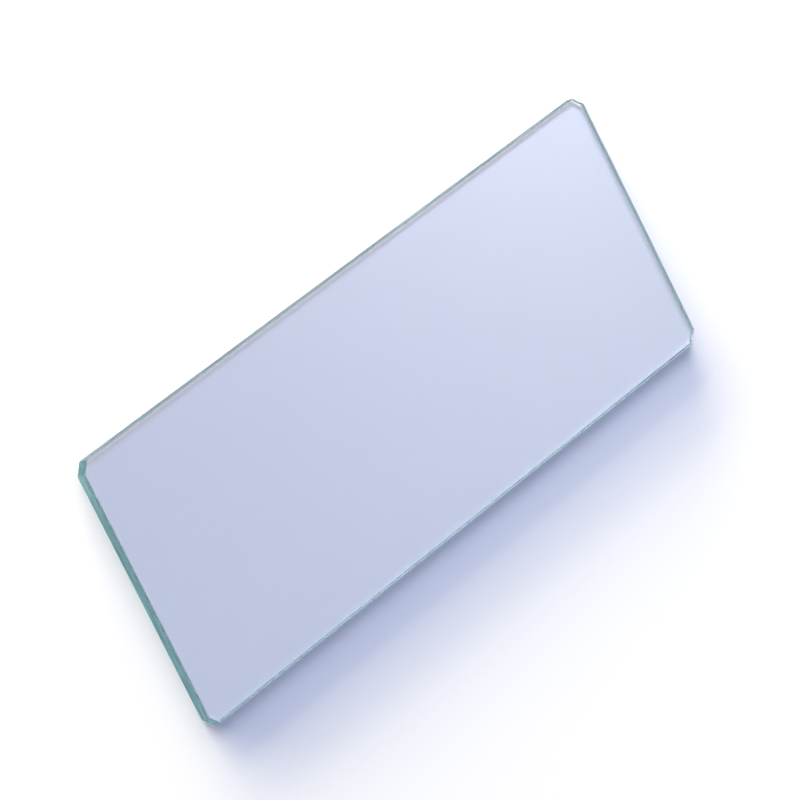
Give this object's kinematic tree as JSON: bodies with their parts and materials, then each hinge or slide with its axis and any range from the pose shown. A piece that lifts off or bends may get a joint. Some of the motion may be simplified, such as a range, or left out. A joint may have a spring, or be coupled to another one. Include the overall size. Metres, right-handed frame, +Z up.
{
  "type": "microscope slide",
  "caption": "Flat clear glass plate with clipped corners and ground edges, for holding a specimen under a microscope.",
  "frame": {"origin": "middle of the underside, the face that the slide lies on", "axes": "+X along the slide, +Y across it, +Z up through its thickness"},
  "size_m": [0.0762, 0.0254, 0.001],
  "materials": {
    "clear_glass": "polished faces, fine-ground green-tinted edges"
  },
  "bodies": {
    "root": {"slide": "clear_glass"}
  },
  "joints": []
}
